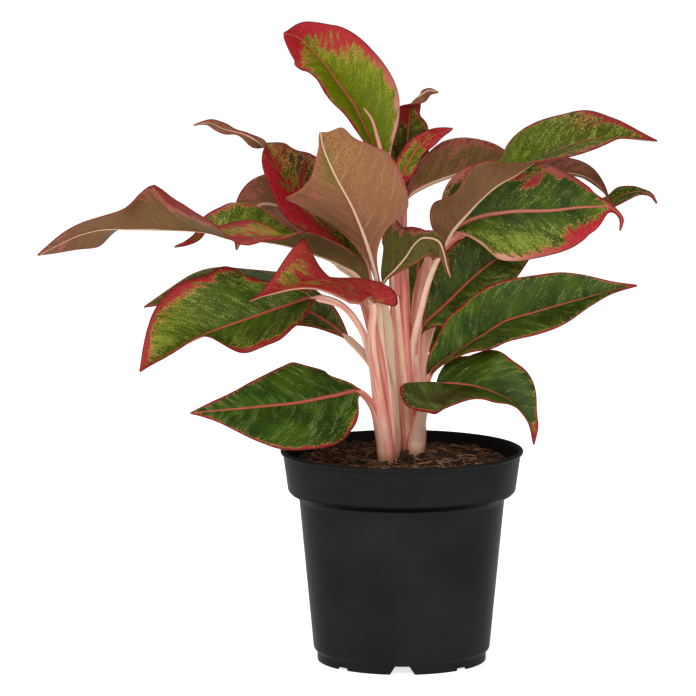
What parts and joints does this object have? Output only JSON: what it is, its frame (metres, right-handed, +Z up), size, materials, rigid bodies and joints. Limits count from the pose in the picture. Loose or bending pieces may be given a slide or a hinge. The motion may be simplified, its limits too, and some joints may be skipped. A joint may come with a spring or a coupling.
{
  "type": "potted philippine evergreen",
  "caption": "Bushy red and green foliage plant with broad pointed leaves on pale stalks, in a round black nursery pot with a deep rim band.",
  "frame": {"origin": "middle of the pot's standing plane, on the round pad under the floor", "axes": "+Z up along the pot's axis, -Y towards the side seen in the picture, +X to that view's right"},
  "size_m": [0.3042, 0.2003, 0.3151],
  "materials": {
    "pot": "moulded black polypropylene, slightly satin",
    "soil": "loose coco peat with fibres",
    "shoot_left": "smooth fleshy cane and stalks, cream",
    "shoot_right": "smooth fleshy cane and stalks, pink",
    "leaf": "smooth, slightly waxy leaf, green with red"
  },
  "bodies": {
    "root": {"pot": "pot", "soil": "soil", "shoot_left": "shoot_left", "shoot_right": "shoot_right", "leaf_top": "leaf", "leaf_top_back": "leaf", "leaf_small_young": "leaf", "leaf_right_high_back": "leaf", "leaf_middle_tall": "leaf", "leaf_left_high": "leaf", "leaf_left_long": "leaf", "leaf_left_green": "leaf", "leaf_left_red": "leaf", "leaf_left_low": "leaf", "leaf_left_low_back": "leaf", "leaf_left_lowest": "leaf", "leaf_right_high": "leaf", "leaf_right_broad": "leaf", "leaf_right_back_upper": "leaf", "leaf_right_back_lower": "leaf", "leaf_right_middle": "leaf", "leaf_right_low": "leaf", "leaf_right_lowest": "leaf", "leaf_middle_curled": "leaf", "leaf_left_back": "leaf", "leaf_rear_high": "leaf", "leaf_rear_left": "leaf", "leaf_rear_right": "leaf", "leaf_rear_right_low": "leaf", "leaf_rear_middle": "leaf"}
  },
  "joints": []
}
